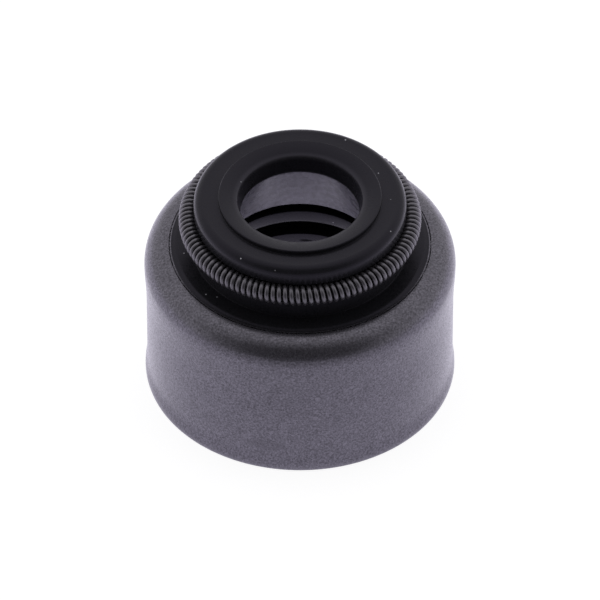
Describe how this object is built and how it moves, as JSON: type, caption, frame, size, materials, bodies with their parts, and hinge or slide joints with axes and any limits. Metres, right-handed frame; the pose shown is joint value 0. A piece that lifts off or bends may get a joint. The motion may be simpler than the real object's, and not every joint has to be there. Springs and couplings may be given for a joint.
{
  "type": "valve stem seal",
  "caption": "Rubber lip seal bonded into a drawn steel case, with a garter spring round its neck and grip ribs inside for the valve guide.",
  "frame": {"origin": "on the stem's axis, in the plane of the case's open rim, which is what the part stands on", "axes": "+Z along the stem's axis, from the open rim towards the sealing lip; the part is turned about +Z, so +X and +Y have no feature of their own"},
  "size_m": [0.0136, 0.0136, 0.0101],
  "materials": {
    "case_steel": "fine grey phosphate coat, satin",
    "body_rubber": "black moulded rubber, semi-matt",
    "spring_wire": "drawn wire, lightly oiled"
  },
  "bodies": {
    "root": {"metal_case": "case_steel", "rubber_body": "body_rubber", "garter_spring": "spring_wire"}
  },
  "joints": []
}
